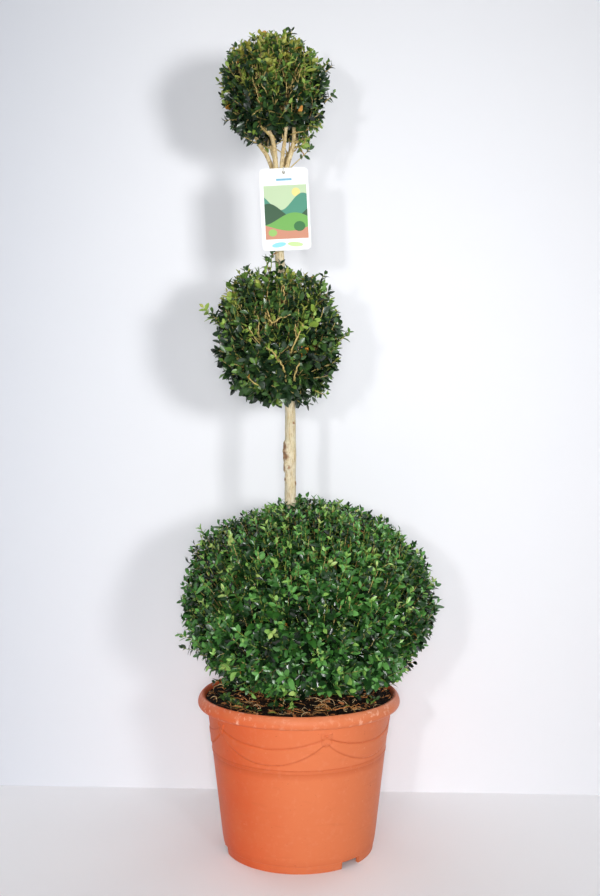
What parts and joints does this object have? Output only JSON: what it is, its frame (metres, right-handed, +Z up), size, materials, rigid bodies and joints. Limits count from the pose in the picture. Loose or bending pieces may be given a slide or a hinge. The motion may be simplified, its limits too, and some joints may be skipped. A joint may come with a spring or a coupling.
{
  "type": "potted triple ball boxwood topiary",
  "caption": "Evergreen shrub clipped into leafy balls, one above another on a bare stem, in a round terracotta-coloured plastic pot, with a plain hanging tag.",
  "frame": {"origin": "middle of the pot's flat underside, where the plant stands", "axes": "+Z up the stem, -Y towards the viewer (the front, where the tag hangs), +X to the viewer's right"},
  "size_m": [0.3691, 0.3525, 1.1657],
  "materials": {
    "pot_plastic": "satin terracotta coloured plastic",
    "soil": "moist fibrous compost",
    "bark": "smooth pale bark",
    "foliage": "small glossy evergreen leaves",
    "tag_card": "glossy printed card",
    "tag_strap": "thin white plastic strap"
  },
  "bodies": {
    "root": {"pot": "pot_plastic", "potting_soil": "soil", "trunk": "bark", "bough_top_1": "bark", "bough_top_2": "bark", "bough_top_3": "bark", "bough_top_4": "bark", "bough_top_5": "bark", "bough_top_6": "bark", "bough_middle_1": "bark", "bough_middle_2": "bark", "bough_middle_3": "bark", "bough_middle_4": "bark", "bough_middle_5": "bark", "ball_bottom": "foliage", "ball_middle": "foliage", "ball_top": "foliage", "hang_tag": "tag_card", "tag_loop": "tag_strap"}
  },
  "joints": []
}
